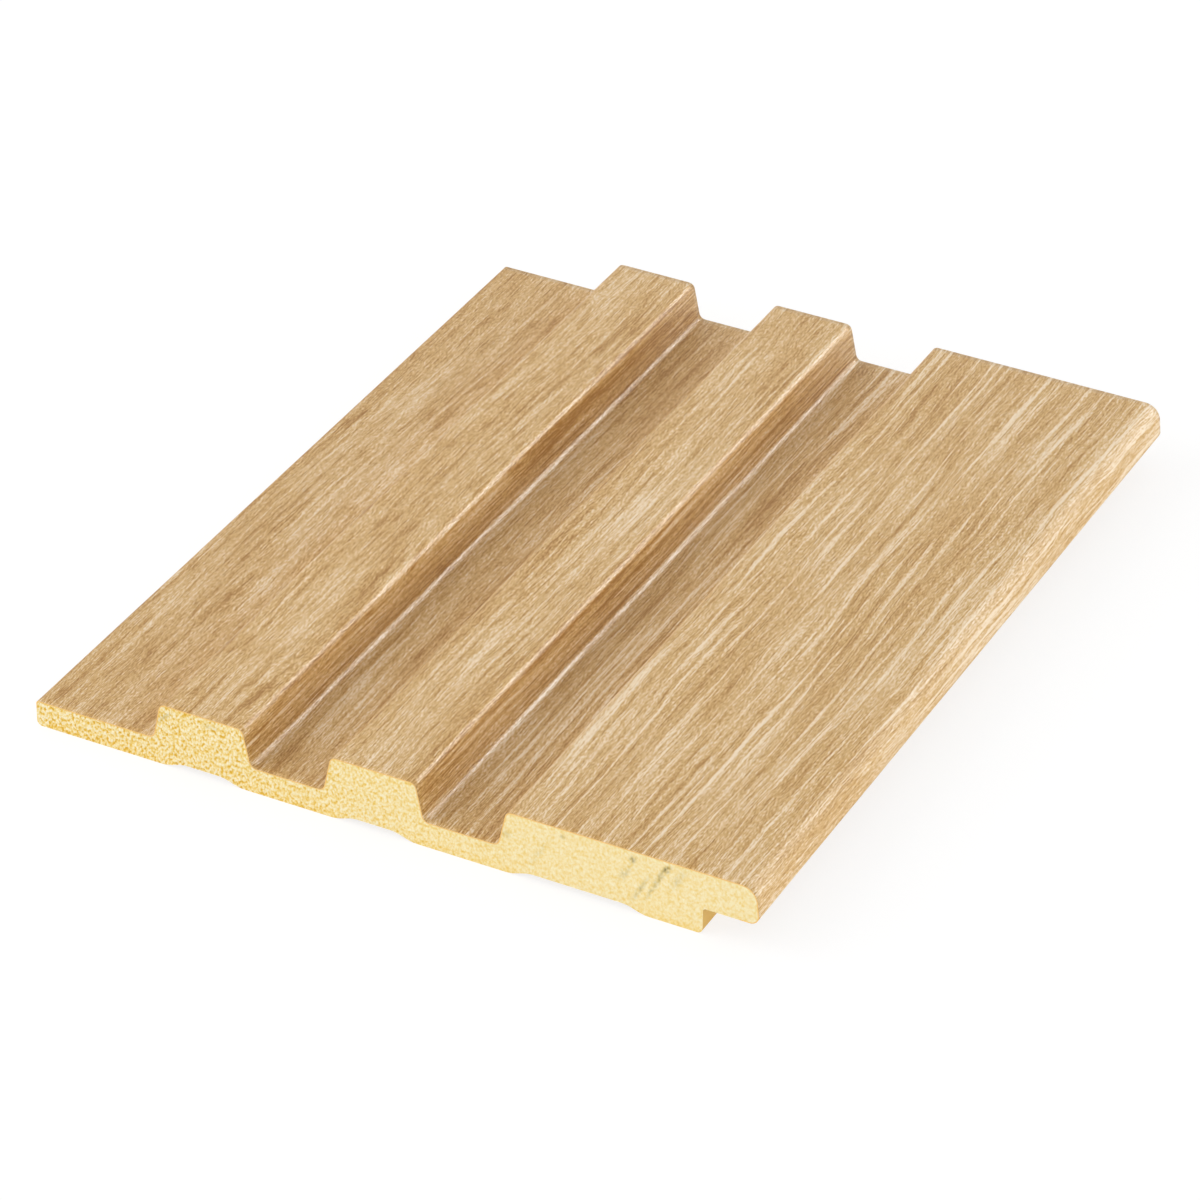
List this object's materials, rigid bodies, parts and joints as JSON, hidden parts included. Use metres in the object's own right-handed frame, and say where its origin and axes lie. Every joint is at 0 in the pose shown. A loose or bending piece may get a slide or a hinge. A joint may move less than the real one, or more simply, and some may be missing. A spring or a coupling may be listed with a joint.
{
  "type": "fluted wall panel",
  "caption": "Short length of fluted wall panel: a foamed core with wood-grain film on its ribbed face, and a lip that covers part of the next panel's flange.",
  "frame": {"origin": "middle of the back, on the plane of the pads that are glued to the wall", "axes": "+Y along the ribs, +X across them towards the overlapping lip, +Z out of the wall, so the panel lies on its back"},
  "size_m": [0.1348, 0.166, 0.012],
  "materials": {
    "foam": "cut foam, pale yellow, fine closed cells",
    "film": "satin film with a pale oak grain print, embossed along the grain"
  },
  "bodies": {
    "root": {"foam_core": "foam", "decor_film": "film"}
  },
  "joints": []
}
